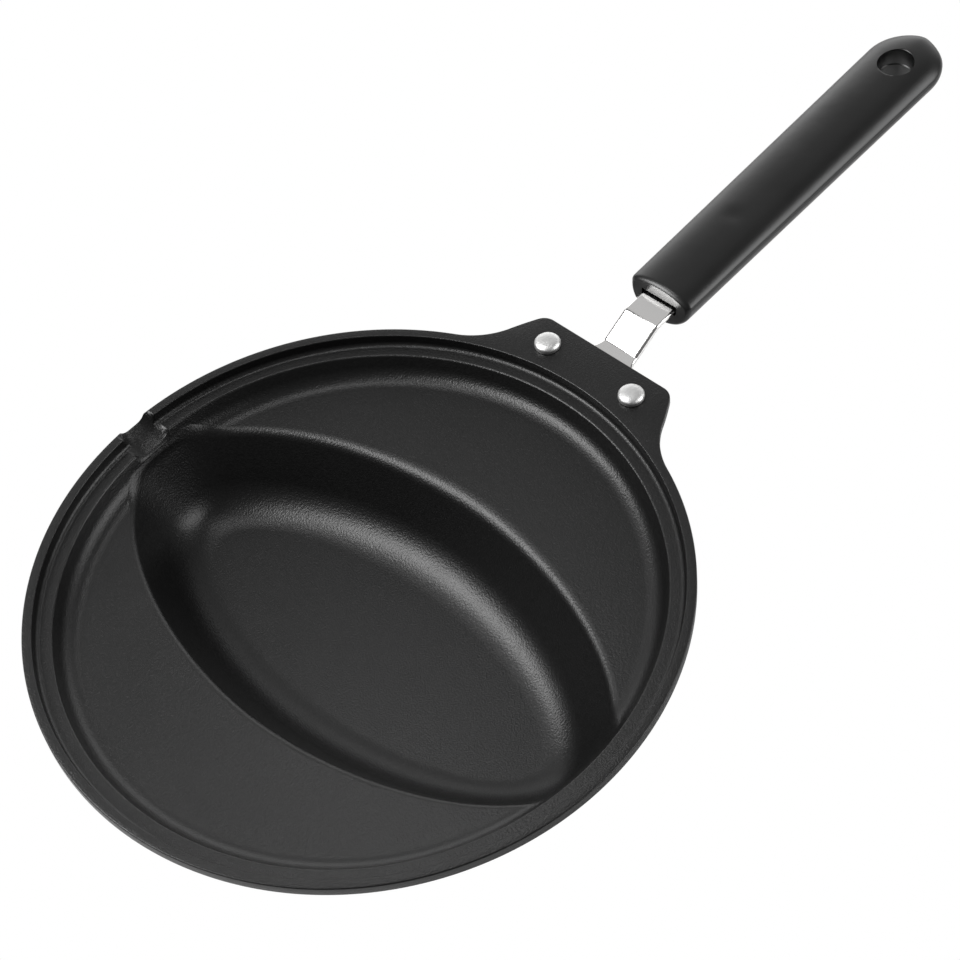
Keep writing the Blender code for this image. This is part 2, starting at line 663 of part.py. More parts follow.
def grip(look):
    """The moulded grip with its strap slot, screw recess and hanging hole."""
    made = loft("grip", [grip_section_loop(*section) for section in grip_sections()], look)
    made.matrix_world = grip_place()
    reach = GRIP_LOWER_HEIGHT + CUT_OVERRUN
    hang = grip_place() @ Matrix.Translation((GRIP_LENGTH - HANG_HOLE_FROM_TIP, 0, 0))
    cut(made, cylinder_cutter("hanging_hole", HANG_HOLE_RADIUS, -reach, reach, hang, HANG_HOLE_COUNT))
    half = TANG_HALF_WIDTH + SLOT_CLEARANCE
    tall = STRAP_THICKNESS / 2 + SLOT_CLEARANCE
    deep = TANG_LENGTH + SLOT_CLEARANCE
    cut(made, box_cutter("tang_slot", (-CUT_OVERRUN, -half, -tall), (deep, half, tall), grip_place()))
    half = STRAP_HALF_WIDTH + SLOT_CLEARANCE
    roof = SLOT_MOUTH_HEIGHT - tall
    low, high = (-CUT_OVERRUN, -half, -tall - GAP), (SLOT_MOUTH_DEPTH, half, roof)
    cut(made, box_cutter("slot_mouth", low, high, grip_place()))
    floor = SCREW_RECESS_DEPTH - GRIP_LOWER_HEIGHT
    low = -GRIP_LOWER_HEIGHT - CUT_OVERRUN
    cut(made, cylinder_cutter("screw_recess", SCREW_RECESS_RADIUS, low, floor, screw_place()))
    tip = tall + SCREW_SHANK_RADIUS
    cut(made, cylinder_cutter("screw_hole", SCREW_SHANK_RADIUS + GAP, low, tip + GAP, screw_place()))
    return made


def grip_screw(look):
    """The pan-head screw from below, through the washer and the grip's floor into the tang."""
    seat = SCREW_RECESS_DEPTH - GRIP_LOWER_HEIGHT - SCREW_WASHER_THICKNESS - 2 * GAP
    tip = STRAP_THICKNESS / 2 + SLOT_CLEARANCE + SCREW_SHANK_RADIUS - GAP
    edge = SCREW_EDGE_HEIGHT
    profile = [(0, tip), (SCREW_SHANK_RADIUS - edge / 2, tip), (SCREW_SHANK_RADIUS, tip - edge / 2)]
    profile += [(SCREW_SHANK_RADIUS, seat), (SCREW_HEAD_RADIUS, seat)]
    profile += dome(SCREW_HEAD_RADIUS, SCREW_HEAD_HEIGHT - edge, 4, -1, seat - edge)
    profile += [(0, seat - SCREW_HEAD_HEIGHT)]
    made = turned("grip_screw", profile, look)
    made.matrix_world = screw_place()
    return made


def screw_washer(look):
    """The washer between the screw's head and the recess's floor."""
    top = SCREW_RECESS_DEPTH - GRIP_LOWER_HEIGHT - GAP
    low = top - SCREW_WASHER_THICKNESS
    profile = [(0, top), (SCREW_WASHER_RADIUS, top), (SCREW_WASHER_RADIUS, low), (0, low)]
    made = turned("screw_washer", profile, look)
    made.matrix_world = screw_place()
    bore, low = SCREW_SHANK_RADIUS + GAP, -GRIP_LOWER_HEIGHT
    cut(made, cylinder_cutter("washer_bore", bore, low, 0, screw_place()))
    return made


def main():
    clear_scene()
    coat = material("non_stick_coat", (0.028, 0.028, 0.029), 0.5, 0.1)
    alloy = material("rivet_alloy", (0.72, 0.72, 0.72), 0.3, 1)
    steel = material("polished_steel", (0.62, 0.62, 0.61), 0.15, 1)
    moulding = material("black_moulding", (0.03, 0.03, 0.031), 0.42, 0)
    zinc = material("zinc_plate", (0.55, 0.56, 0.58), 0.35, 1)
    pan_body(coat)
    handle_bracket(steel)
    for side, place in rivet_places():
        rivet(side, place, alloy)
    grip(moulding)
    grip_screw(zinc)
    screw_washer(zinc)


main()
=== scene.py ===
"""Looks for the omurice pan: the coated casting, polished bracket, bright rivets and moulded grip.

Metres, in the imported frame: the pan stands on Z = 0 with its centre at the origin, +X runs along the
handle and the pouring spout is at +Y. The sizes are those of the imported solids, refined where the
photograph shows more than the solids carry.
"""

import math

import bmesh
import bpy
import numpy as np
from mathutils import Matrix, Vector

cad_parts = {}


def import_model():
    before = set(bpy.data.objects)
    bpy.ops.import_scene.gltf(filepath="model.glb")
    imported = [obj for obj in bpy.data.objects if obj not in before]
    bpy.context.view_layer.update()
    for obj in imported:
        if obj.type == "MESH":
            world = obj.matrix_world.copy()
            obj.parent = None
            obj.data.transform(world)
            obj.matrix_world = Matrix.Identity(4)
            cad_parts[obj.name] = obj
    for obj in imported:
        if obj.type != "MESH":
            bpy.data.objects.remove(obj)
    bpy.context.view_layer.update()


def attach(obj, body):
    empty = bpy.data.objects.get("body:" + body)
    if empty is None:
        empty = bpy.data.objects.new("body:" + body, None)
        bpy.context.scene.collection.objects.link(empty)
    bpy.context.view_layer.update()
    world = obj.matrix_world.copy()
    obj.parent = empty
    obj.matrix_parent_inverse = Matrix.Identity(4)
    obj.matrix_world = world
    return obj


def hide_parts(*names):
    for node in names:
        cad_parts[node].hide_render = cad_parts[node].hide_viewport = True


MM = 0.001

# Clearances
GAP = 0.3 * MM
OVERRUN = 2.0 * MM

# Edges stay sharp where two faces meet at more than this
CREASE_ANGLE = math.radians(40)
CASTING_CREASE_ANGLE = math.radians(50)

# Shares of the flange's and the spout's half angles over which the casting's loops are finer
FLANGE_FINE_SHARE = 2.1
SPOUT_FINE_SHARE = 1.5

# Pan: overall sizes
PAN_RADIUS = 112.5 * MM
CASTING_WALL = 3.0 * MM
BASE_THICKNESS = 4.0 * MM

# Pan: rim, from the outside in
LIP_WIDTH = 3.4 * MM
LIP_EDGE_RADIUS = 0.5 * MM
LIP_SIDE_HEIGHT = 3.8 * MM
LIP_STEP_LEAN = 0.4 * MM
SHELF_DEPTH = 4.4 * MM
SHELF_FILLET = 1.8 * MM
SHELF_WIDTH = 5.7 * MM
SHELF_EDGE_RADIUS = 1.0 * MM
SHELF_INNER_RADIUS = PAN_RADIUS - LIP_WIDTH - SHELF_WIDTH
WALL_ANGLE = math.radians(66)
FOOT_FILLET = 7.5 * MM
PLATE_DEPTH = 12.5 * MM
RIM_UNDERCUT = 2.5 * MM

# Pan: lens-shaped well, whose ends reach just past the shelf's inner edge
WELL_HALF_WIDTH = 54.5 * MM
WELL_END_REACH = 0.1 * MM
WELL_HALF_LENGTH = SHELF_INNER_RADIUS + WELL_END_REACH
WELL_OUTLINE_POWER = 1.85
WELL_DEPTH = 27.0 * MM
WELL_SIDE_RUN = 27.0 * MM
WELL_END_RUN = 28.5 * MM
WELL_FLOOR_HALF_WIDTH = WELL_HALF_WIDTH - WELL_SIDE_RUN
WELL_FLOOR_HALF_LENGTH = WELL_HALF_LENGTH - WELL_END_RUN
WELL_FLOOR_FILLET = 20.0 * MM
BASE_SIDE_MARGIN = 15.0 * MM
BASE_END_MARGIN = 6.0 * MM
BASE_HALF_WIDTH = WELL_FLOOR_HALF_WIDTH + BASE_SIDE_MARGIN
BASE_HALF_LENGTH = WELL_FLOOR_HALF_LENGTH + BASE_END_MARGIN
BASE_FILLET = 6.0 * MM
WELL_EDGE_ROUNDING = 2.3 * MM
WELL_BACK_ROUNDING = 4.4 * MM
WELL_ROOT_ROUNDING = 4.0 * MM
WELL_END_BLEND = 4.0 * MM

# Pan: pouring spout
SPOUT_ANGLE = math.radians(90.7)
SPOUT_LIP_HALF_WIDTH = 5.8 * MM
SPOUT_SHELF_HALF_WIDTH = 7.8 * MM
SPOUT_RIM_DEPTH = 2.4 * MM
SPOUT_END_DEPTH = 7.4 * MM
SPOUT_SIDE_POWER = 4
SPOUT_FLOOR_POWER = 1.5
SPOUT_BLEND = 0.35 * MM
SPOUT_SIDE = math.radians(60)
SPOUT_EDGE_ROUNDING = 0.7 * MM
SPOUT_EDGE_WIDTH_SHARE = 1.5
SPOUT_EDGE_POWER = 4

# Pan: handle flange, whose corners stand round the rivets
FLANGE_OVERHANG = 15.2 * MM
FLANGE_REACH = PAN_RADIUS + FLANGE_OVERHANG
FLANGE_THICKNESS = 3.0 * MM
FLANGE_SIDE_MARGIN = 9.7 * MM
RIVET_HALF_SPACING = 19.6 * MM
FLANGE_CORNER_HALF_WIDTH = RIVET_HALF_SPACING + FLANGE_SIDE_MARGIN
FLANGE_CORNER_RADIUS = 5.5 * MM
FLANGE_SIDE_ANGLE = math.radians(153)
FLANGE_SIDE_FILLET = 30.0 * MM

# Rivets
RIVET_INSET = 8.7 * MM
RIVET_RADIUS_FROM_CENTRE = FLANGE_REACH - RIVET_INSET
RIVET_SHANK_RADIUS = 2.5 * MM
RIVET_HEAD_RADIUS = 4.8 * MM
RIVET_HEAD_HEIGHT = 2.6 * MM
RIVET_TAIL_RADIUS = 4.2 * MM
RIVET_TAIL_HEIGHT = 1.8 * MM
RIVET_EDGE_HEIGHT = 0.6 * MM
RIVET_CROWN_POWER = 2.5

# Handle bracket
STRAP_THICKNESS = 2.0 * MM
STRAP_HALF_WIDTH = 7.6 * MM
STRAP_EDGE_RADIUS = 0.6 * MM
STRAP_EDGE_WIDTH = 1.1 * MM
FOOT_END_RADIUS = 6.0 * MM
RISER_CLEARANCE = 6.3 * MM
RISER_RUN = 12.3 * MM
RISER_START = FLANGE_REACH + RISER_CLEARANCE
RISER_END = RISER_START + RISER_RUN
RISER_BEND_RADIUS = 3.0 * MM
TANG_HALF_WIDTH = 6.8 * MM
TANG_LENGTH = 62.0 * MM

# Grip: parting line and belly are measured from the axis of its tang slot, and the crown from that line
STRAP_SHOWN_LENGTH = 9.2 * MM
GRIP_START = RISER_END + STRAP_SHOWN_LENGTH
GRIP_LENGTH = 160.2 * MM
GRIP_AXIS_RISE = 2.45 * MM
GRIP_TILT = math.radians(2.8)
GRIP_FRONT_HALF_WIDTH = 13.6 * MM
GRIP_REAR_HALF_WIDTH = 15.2 * MM
GRIP_FRONT_CROWN = 4.0 * MM
GRIP_REAR_CROWN = 5.6 * MM
GRIP_LOWER_HEIGHT = 8.6 * MM
GRIP_FRONT_PARTING = 3.0 * MM
GRIP_REAR_PARTING = 0.9 * MM
GRIP_CROWN_POWER = 1.8
GRIP_BELLY_POWER = 2.2
GRIP_NOSE_RADIUS = 2.6 * MM
GRIP_NOSE_TURN = math.radians(60)
NOSE_FACE_SHARE = 0.97
NOSE_LEAN = math.tan(math.radians(12))
NOSE_LEAN_LENGTH = 22.0 * MM
PARTING_GROOVE_DEPTH = 0.3 * MM
PARTING_GROOVE_HEIGHT = 0.5 * MM
SINK_DEPTH = 0.42 * MM
SINK_RADIUS = 3.5 * MM
GRIP_TAIL_LENGTH = 16.0 * MM
GRIP_TAIL_WIDTH_POWER = 0.93
GRIP_TAIL_HEIGHT_POWER = 0.35
GRIP_TAIL_END_SHARE = 0.985
HANG_HOLE_RADIUS = 7.0 * MM
HANG_HOLE_FROM_TIP = 19.4 * MM
HANG_HOLE_EDGE_RADIUS = 0.8 * MM
HANG_HOLE_RIDGE = 0.4 * MM
HANG_HOLE_DRAFT = 0.4 * MM
SLOT_CLEARANCE = 0.4 * MM
SLOT_MOUTH_HEIGHT = 3.6 * MM
SLOT_MOUTH_DEPTH = 4.0 * MM

# Grip screw
SCREW_FROM_NOSE = 44.0 * MM
SCREW_SHANK_RADIUS = 2.0 * MM
SCREW_HEAD_RADIUS = 3.6 * MM
SCREW_HEAD_HEIGHT = 2.4 * MM
SCREW_CROSS_LENGTH_SHARE = 0.62
SCREW_CROSS_WIDTH_SHARE = 0.14
SCREW_CROSS_DEPTH_SHARE = 0.6
SCREW_EDGE_HEIGHT = 0.8 * MM
SCREW_WASHER_RADIUS = 4.1 * MM
SCREW_WASHER_THICKNESS = 1.0 * MM
SCREW_RECESS_RADIUS = 4.8 * MM
SCREW_RECESS_DEPTH = 5.0 * MM

# Heights, from the flat underside of the well
RIM_HEIGHT = BASE_THICKNESS + WELL_DEPTH + PLATE_DEPTH

# Studio: brightness of the backdrop beyond the pan and of the room, where 1 is white
BACKDROP_AZIMUTH = math.radians(40)
BACKDROP_LOW_LIGHT = 2.3
BACKDROP_HIGH_LIGHT = 0.5
ROOM_LIGHT = 0.13

# Studio: cosines off the backdrop's middle and sines of elevation between which its light fades
BACKDROP_SIDES = (0.62, 0.9)
BACKDROP_HEIGHTS = (0.18, 0.66)

# Studio: azimuth and elevation in degrees, distance, width, height and brightness of each light
SOFTBOXES = {
    "key_left": (132, 49, 1.3, 0.7, 0.6, 14.5),
    "fill_right": (-50, 30, 1.3, 0.9, 0.8, 4.5),
    "top": (56, 72, 0.49, 0.11, 0.11, 7),
}
FLOOR_HALF_SIZE = 3.0

# Camera, as fitted to the photograph's round rim
CAMERA_PLACE = (-240.7 * MM, -359.9 * MM, 587.4 * MM + RIM_HEIGHT)
CAMERA_AZIMUTH = math.radians(50.13)
CAMERA_ELEVATION = math.radians(51.634)
CAMERA_ROLL = math.radians(-9.205)
FOCAL_PIXELS = 2196
IMAGE_PIXELS = 960
SENSOR_MM = 36


# Mesh helpers


def rounded_path(corners):
    """Points along straight runs through the corners, each given as (a, b, radius, steps of its arc)."""
    points = []
    for index, (a, b, radius, steps) in enumerate(corners):
        here = np.array([a, b])
        if not radius:
            points.append(here)
            continue
        before = np.array(corners[index - 1][:2]) - here
        after = np.array(corners[index + 1][:2]) - here
        before, after = before / np.hypot(*before), after / np.hypot(*after)
        half = math.acos(float(np.clip(before @ after, -1, 1))) / 2
        middle = before + after
        centre = here + middle / np.hypot(*middle) * radius / math.sin(half)
        start = here + before * radius / math.tan(half) - centre
        turn = math.pi - 2 * half
        if start[0] * after[1] - start[1] * after[0] < 0:
            turn = -turn
        for step in range(steps + 1):
            angle = turn * step / steps
            c, s = math.cos(angle), math.sin(angle)
            points.append(centre + (start[0] * c - start[1] * s, start[0] * s + start[1] * c))
    return np.array(points)


def soft_min(first, second, blend):
    """The lower of two values, with the crease between them rounded over blend."""
    near = np.clip(blend - np.abs(first - second), 0, None)
    return np.minimum(first, second) - near * near / (4 * blend)


def piece(name, points, faces, look=None, crease=CREASE_ANGLE):
    """A smooth-shaded mesh object whose faces point outwards, with sharp edges over the crease angle."""
    mesh = bpy.data.meshes.new(name)
    mesh.from_pydata([tuple(point) for point in points], [], faces)
    shape = bmesh.new()
    shape.from_mesh(mesh)
    bmesh.ops.recalc_face_normals(shape, faces=shape.faces)
    shape.to_mesh(mesh)
    shape.free()
    mesh.shade_smooth()
    mesh.set_sharp_from_angle(angle=crease)
    if look:
        mesh.materials.append(look)
    made = bpy.data.objects.new(name, mesh)
    bpy.context.scene.collection.objects.link(made)
    return made


def loft(name, loops, look=None, crease=CREASE_ANGLE):
    """A closed body through equal closed loops of points, with a face on the first and the last."""
    count = len(loops[0])
    points = [point for loop in loops for point in loop]
    last = (len(loops) - 1) * count
    faces = [list(range(count)), list(range(last + count - 1, last - 1, -1))]
    for row in range(len(loops) - 1):
        for k in range(count):
            here, after = row * count + k, row * count + (k + 1) % count
            faces.append([here, after, after + count, here + count])
    return piece(name, points, faces, look, crease)


def turned(name, profile, look=None, count=64):
    """A body turned about Z from (radius, height) points, whose first and last points lie on the axis."""
    angles = [2 * math.pi * k / count for k in range(count)]
    points = [(0, 0, profile[0][1])]
    rings = profile[1:-1]
    points += [(r * math.cos(a), r * math.sin(a), z) for r, z in rings for a in angles]
    points.append((0, 0, profile[-1][1]))
    last = len(points) - 1
    faces = []
    for k in range(count):
        after = (k + 1) % count
        faces.append([0, 1 + k, 1 + after])
        faces.append([last, last - count + after, last - count + k])
        for row in range(len(rings) - 1):
            low = 1 + row * count
            faces.append([low + k, low + count + k, low + count + after, low + after])
    return piece(name, points, faces, look)


def carve(made, cutters):
    """Cuts the cutters out of a piece, which keeps the result as its own mesh."""
    for cutter in cutters:
        step = made.modifiers.new(cutter.name, "BOOLEAN")
        step.operation = "DIFFERENCE"
        step.object = cutter
    graph = bpy.context.evaluated_depsgraph_get()
    shaped = bpy.data.meshes.new_from_object(made.evaluated_get(graph))
    made.modifiers.clear()
    made.data = shaped
    for cutter in cutters:
        bpy.data.objects.remove(cutter, do_unlink=True)
    shaped.shade_smooth()
    shaped.set_sharp_from_angle(angle=CREASE_ANGLE)
    return made


def put(made, place):
    """Moves a piece by moving its mesh, so that its object stays at the origin."""
    made.data.transform(place)
    return made


# The casting


def flange_outline():
    """Half of the flange's outline, from the handle's axis round its corner to the rim's circle."""
    along = np.array([math.cos(FLANGE_SIDE_ANGLE), math.sin(FLANGE_SIDE_ANGLE)])
    outward = np.array([along[1], -along[0]])
    corner = np.array([FLANGE_REACH, FLANGE_CORNER_HALF_WIDTH])
    base = corner + outward * FLANGE_SIDE_FILLET
    reach = PAN_RADIUS + FLANGE_SIDE_FILLET
    b, c = base @ along, base @ base - reach**2
    centre = base + along * (-b - math.sqrt(b * b - c))
    end = centre - outward * FLANGE_SIDE_FILLET
    far = rounded_path([(FLANGE_REACH, 0, 0, 0), (*corner, FLANGE_CORNER_RADIUS, 60), (*end, 0, 0)])
    first = math.atan2(*(-outward)[::-1])
    last = math.atan2(*(-centre)[::-1])
    turn = (last - first + math.pi) % (2 * math.pi) - math.pi
    angles = np.linspace(first, first + turn, 80)
    near = [centre + FLANGE_SIDE_FILLET * np.array([math.cos(a), math.sin(a)]) for a in angles]
    return np.vstack([far, near])


def outer_radius(angles):
    """The casting's outer radius at each angle: the round rim, and the flange around the handle's axis."""
    outline = flange_outline()
    turn = np.arctan2(outline[:, 1], outline[:, 0])
    radius = np.hypot(outline[:, 0], outline[:, 1])
    order = np.argsort(turn)
    away = np.abs((angles + math.pi) % (2 * math.pi) - math.pi)
    straight = FLANGE_REACH / np.maximum(np.cos(away), 0.5)
    found = np.interp(away, turn[order], radius[order], right=PAN_RADIUS)
    return np.where(away < turn[order][1], straight, np.maximum(found, PAN_RADIUS))


def casting_angles():
    """Angles of the casting's loops, closer together in the spout and at the flange."""
    flange = FLANGE_FINE_SHARE * math.atan2(FLANGE_CORNER_HALF_WIDTH, FLANGE_REACH)
    spout = SPOUT_FINE_SHARE * SPOUT_SHELF_HALF_WIDTH / SHELF_INNER_RADIUS
    runs = [
        (-flange, flange, 120),
        (flange, SPOUT_ANGLE - spout, 60),
        (SPOUT_ANGLE - spout, SPOUT_ANGLE + spout, 110),
        (SPOUT_ANGLE + spout, 2 * math.pi - flange, 270),
    ]
    return np.concatenate([np.linspace(*run, endpoint=False) for run in runs])


def wall_radius(level, wall):
    """Radius of the rim's inner wall at a level below the rim, or of its outer face a wall away."""
    inner = SHELF_INNER_RADIUS + wall / math.sin(WALL_ANGLE)
    return inner + (level + SHELF_DEPTH) / math.tan(WALL_ANGLE)


def rim_profile():
    """(radius, height below the rim) of the upper face from the plate to the lip's top."""
    foot = wall_radius(-PLATE_DEPTH, 0)
    lip = PAN_RADIUS - LIP_WIDTH
    return rounded_path([
        (foot - 2 * FOOT_FILLET, -PLATE_DEPTH, 0, 0),
        (foot, -PLATE_DEPTH, FOOT_FILLET, 12),
        (SHELF_INNER_RADIUS, -SHELF_DEPTH, SHELF_EDGE_RADIUS, 7),
        (lip - LIP_STEP_LEAN, -SHELF_DEPTH, SHELF_FILLET, 10),
        (lip, 0, LIP_EDGE_RADIUS, 7),
        (PAN_RADIUS, 0, 0, 0),
    ])[1:-1]


def under_profile():
    """(radius, height below the rim) of the underside from the plate to the lip's outer side."""
    plate, low = -PLATE_DEPTH - CASTING_WALL, -SHELF_DEPTH - CASTING_WALL
    foot = wall_radius(plate, CASTING_WALL)
    return rounded_path([
        (foot - 2 * FOOT_FILLET, plate, 0, 0),
        (foot, plate, FOOT_FILLET + CASTING_WALL / 2, 10),
        (wall_radius(low, CASTING_WALL), low, SHELF_EDGE_RADIUS, 5),
        (PAN_RADIUS - RIM_UNDERCUT, low, SHELF_EDGE_RADIUS, 5),
        (PAN_RADIUS - LIP_EDGE_RADIUS, -LIP_SIDE_HEIGHT, 0, 0),
    ])[1:]


def lens_radius(angles, half_width, half_length):
    """The lens outline with the given half sizes, as a radius at each angle."""
    power = WELL_OUTLINE_POWER
    across, along = np.abs(np.cos(angles)) / half_width, np.abs(np.sin(angles)) / half_length
    return (across**power + along**power) ** (-1 / power)


def well_radius(angles, share, level, face):
    """A face of the well as a radius at each angle: a lens that share draws in from edge 0 to floor 1.

    The well's ends go no further out than the rim's wall, which runs on down into them.
    """
    sizes = [first + (last - first) * share for first, last in zip(face["edge"], face["floor"])]
    return soft_min(lens_radius(angles, *sizes), wall_radius(level, face["wall"]), WELL_END_BLEND)


def spout_run(radius):
    """How far a radius lies along the spout: 0 at its inner end in the rim's wall, 1 at the pan's edge."""
    inner = wall_radius(-SPOUT_END_DEPTH, 0)
    return np.clip((radius - inner) / (PAN_RADIUS - inner), 0, None)


def spout_side(angles):
    """Whether each angle is on the spout's side of the pan, where its trough has to be reckoned with."""
    return np.cos(angles - SPOUT_ANGLE) > math.cos(SPOUT_SIDE)


def spout_floor(radius, angles):
    """Height below the rim of the spout's trough, and far above the pan away from it."""
    fall = SPOUT_END_DEPTH - SPOUT_RIM_DEPTH
    floor = fall * spout_run(radius) ** SPOUT_FLOOR_POWER - SPOUT_END_DEPTH
    out = np.clip((radius - SHELF_INNER_RADIUS) / (PAN_RADIUS - SHELF_INNER_RADIUS), 0, None)
    half_width = SPOUT_SHELF_HALF_WIDTH + (SPOUT_LIP_HALF_WIDTH - SPOUT_SHELF_HALF_WIDTH) * out
    aside = np.abs(radius * np.sin(angles - SPOUT_ANGLE)) / half_width
    trough = floor + SPOUT_RIM_DEPTH * aside**SPOUT_SIDE_POWER
    return np.where(spout_side(angles), trough, PAN_RADIUS)


def upper_height(radius, angles, profile):
    """Height below the rim of the pan's upper face outside the well."""
    rim = np.interp(radius, profile[:, 0], profile[:, 1])
    return soft_min(rim, spout_floor(radius, angles), SPOUT_BLEND)


def under_height(radius, angles, profile):
    """Height below the rim of the underside outside the well, which bulges down under the spout."""
    under = np.interp(radius, profile[:, 0], profile[:, 1])
    wall = CASTING_WALL + (LIP_SIDE_HEIGHT - SPOUT_RIM_DEPTH - CASTING_WALL) * spout_run(radius)
    return soft_min(under, spout_floor(radius, angles) - wall, SPOUT_BLEND)


def well_loops(angles, profile, height, face):
    """(radius, height below the rim) loops of one face of the well, from its floor to beyond its edge."""
    fillet, rounding = face["fillet"], face["rounding"]
    plate, bottom = face["levels"]
    run, drop = face["edge"][0] - face["floor"][0], plate - bottom - fillet
    steep = math.atan2(drop, run) + math.asin(fillet / math.hypot(run, drop))
    lean = 1 / (math.tan(steep) * run)
    loops = []
    for turn in np.linspace(0, steep, face["fillet_steps"]):
        level = bottom + fillet * (1 - math.cos(turn))
        radius = well_radius(angles, 1 - fillet * math.sin(turn) / run, level, face)
        loops.append((radius, np.full(len(angles), level)))
    # The corner's radius and height depend on each other, and settle within three rounds
    top = np.full(len(angles), plate)
    for _ in range(3):
        corner = well_radius(angles, (plate - top) * lean, top, face)
        top = height(corner, angles, profile)
    low = top - rounding * math.sin(steep)
    for share in np.linspace(0, 1, 9)[1:-1]:
        level = loops[face["fillet_steps"] - 1][1] * (1 - share) + low * share
        loops.append((well_radius(angles, (plate - level) * lean, level, face), level))
    start = (well_radius(angles, (plate - low) * lean, low, face), low)
    end = (corner + rounding, height(corner + rounding, angles, profile))
    for t in np.linspace(0, 1, 12):
        shares = ((1 - t) ** 2, 2 * t * (1 - t), t * t)
        parts = zip(start, (corner, top), end)
        loops.append(tuple(sum(s * part for s, part in zip(shares, trio)) for trio in parts))
    return loops


def edge_rounding(angles):
    """Rounding of the well's edge: wider towards the handle, sharper where the spout opens into it."""
    width = SPOUT_EDGE_WIDTH_SHARE * SPOUT_SHELF_HALF_WIDTH
    aside = SHELF_INNER_RADIUS * np.sin(angles - SPOUT_ANGLE) / width
    near = np.where(spout_side(angles), np.exp(-(aside**SPOUT_EDGE_POWER)), 0)
    back = np.clip(np.cos(angles), 0, 1)
    wide = WELL_EDGE_ROUNDING + (WELL_BACK_ROUNDING - WELL_EDGE_ROUNDING) * back
    return wide + (SPOUT_EDGE_ROUNDING - wide) * near


def rim_loops(loops, angles, profile, height, least):
    """Adds the profile's own circles to the loops, pushed out where the well's edge lies beyond them."""
    for radius in profile[:, 0]:
        around = np.maximum(radius, loops[-1][0] + least)
        loops.append((around, height(around, angles, profile)))


def outer_loops(angles, reach):
    """Loops over the lip's outer edge, down its side and under it, from the top."""
    out = np.clip((reach - PAN_RADIUS) / (LIP_WIDTH / 2), 0, 1)
    depth = LIP_SIDE_HEIGHT + (FLANGE_THICKNESS - LIP_SIDE_HEIGHT) * out
    edge = LIP_EDGE_RADIUS
    loops = []
    for turn in np.linspace(0, math.pi / 2, 7):
        radius = reach - edge * (1 - math.sin(turn))
        level = np.full(len(angles), -edge * (1 - math.cos(turn)))
        trough = spout_floor(np.minimum(radius, PAN_RADIUS), angles)
        loops.append((radius, soft_min(level, trough, SPOUT_BLEND)))
    small = edge / 2
    for turn in np.linspace(0, math.pi / 2, 5):
        loops.append((reach - small * (1 - math.cos(turn)), -depth + small * (1 - math.sin(turn))))
    inset = 1.5 * small - np.minimum(3 * small, (reach - PAN_RADIUS) / 2)
    loops.append((PAN_RADIUS - inset, -depth))
    return loops


def casting(look):
    """The whole pan in one skin, from the well's floor over the rim and flange to the flat underside."""
    angles = casting_angles()
    upper, under = rim_profile(), under_profile()
    least = LIP_EDGE_RADIUS / 25
    inner = {
        "wall": 0,
        "levels": (-PLATE_DEPTH, -PLATE_DEPTH - WELL_DEPTH),
        "edge": (WELL_HALF_WIDTH, WELL_HALF_LENGTH),
        "floor": (WELL_FLOOR_HALF_WIDTH, WELL_FLOOR_HALF_LENGTH),
        "fillet": WELL_FLOOR_FILLET,
        "fillet_steps": 24,
        "rounding": edge_rounding(angles),
    }
    outer = {
        "wall": CASTING_WALL,
        "levels": (-PLATE_DEPTH - CASTING_WALL, -RIM_HEIGHT),
        "edge": (WELL_HALF_WIDTH + CASTING_WALL, WELL_HALF_LENGTH + CASTING_WALL),
        "floor": (BASE_HALF_WIDTH, BASE_HALF_LENGTH),
        "fillet": BASE_FILLET,
        "fillet_steps": 12,
        "rounding": WELL_ROOT_ROUNDING,
    }
    above = well_loops(angles, upper, upper_height, inner)
    rim_loops(above, angles, upper, upper_height, least)
    below = well_loops(angles, under, under_height, outer)
    rim_loops(below, angles, under, under_height, least)
    loops = []
    for radius, level in above + outer_loops(angles, outer_radius(angles)) + below[::-1]:
        ring = np.stack([radius * np.cos(angles), radius * np.sin(angles), RIM_HEIGHT + level], axis=1)
        loops.append([tuple(point) for point in ring])
    return loft("pan_shell", loops, look, CASTING_CREASE_ANGLE)


# Rivets


def rivet_seat():
    """The rivets' distance along X from the pan's centre."""
    return math.sqrt(RIVET_RADIUS_FROM_CENTRE**2 - RIVET_HALF_SPACING**2)


def dome(radius, height, steps, sign, base):
    """(radius, height) points of a shallow dome, from its rim to the point before its top."""
    sphere = (radius**2 + height**2) / (2 * height)
    edge = math.asin(min(1, radius / sphere))
    if height > radius:
        edge = math.pi - edge
    points = []
    for step in range(steps):
        angle = edge * (1 - step / steps)
        points.append((sphere * math.sin(angle), base + sign * (height - sphere * (1 - math.cos(angle)))))
    return points


def rivet(name, y, look):
    """A solid rivet: a domed head on the flange, and its formed tail under the bracket's foot."""
    tail = -FLANGE_THICKNESS - STRAP_THICKNESS - 2 * GAP
    edge = RIVET_EDGE_HEIGHT
    head = []
    for a in np.linspace(0, math.pi / 2, 28)[:-1]:
        c, s = math.cos(a) ** (2 / RIVET_CROWN_POWER), math.sin(a) ** (2 / RIVET_CROWN_POWER)
        head.append((RIVET_HEAD_RADIUS * c, GAP + edge + (RIVET_HEAD_HEIGHT - edge) * s))
    profile = [(0, GAP + RIVET_HEAD_HEIGHT)] + head[::-1]
    profile += [(RIVET_HEAD_RADIUS, GAP), (RIVET_SHANK_RADIUS, GAP), (RIVET_SHANK_RADIUS, tail)]
    profile += [(RIVET_TAIL_RADIUS, tail)]
    profile += dome(RIVET_TAIL_RADIUS, RIVET_TAIL_HEIGHT, 12, -1, tail - edge)
    profile += [(0, tail - edge - RIVET_TAIL_HEIGHT)]
    return put(turned(name, profile, look), Matrix.Translation((rivet_seat(), y, RIM_HEIGHT)))


# Bracket


